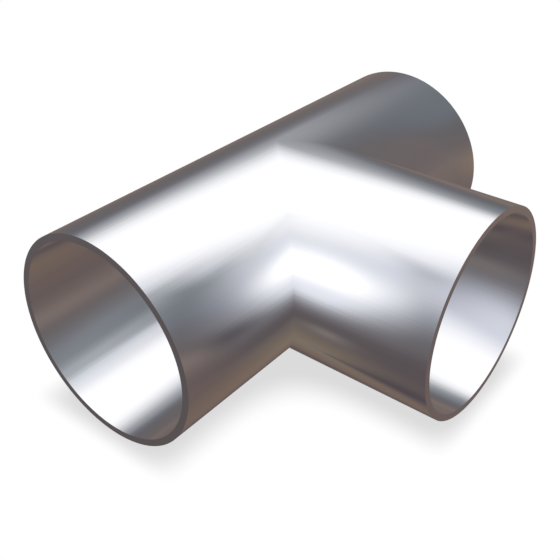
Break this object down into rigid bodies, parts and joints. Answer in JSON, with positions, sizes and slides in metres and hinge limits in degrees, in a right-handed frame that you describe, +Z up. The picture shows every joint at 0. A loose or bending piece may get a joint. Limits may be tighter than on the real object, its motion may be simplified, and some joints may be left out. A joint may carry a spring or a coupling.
{
  "type": "pipe tee",
  "caption": "Equal tee in thin-walled polished stainless tube: a straight run with a branch of the same bore at its middle and plain square-cut ends for butt welding.",
  "frame": {"origin": "where the axes of the run and the branch cross, at half the height of the tee as it lies", "axes": "+X along the run, -Y out of the branch, +Z up with the tee lying flat on its side"},
  "size_m": [0.14, 0.1001, 0.0604],
  "materials": {
    "polished_steel": "satin polish"
  },
  "bodies": {
    "root": {"tee": "polished_steel"}
  },
  "joints": []
}
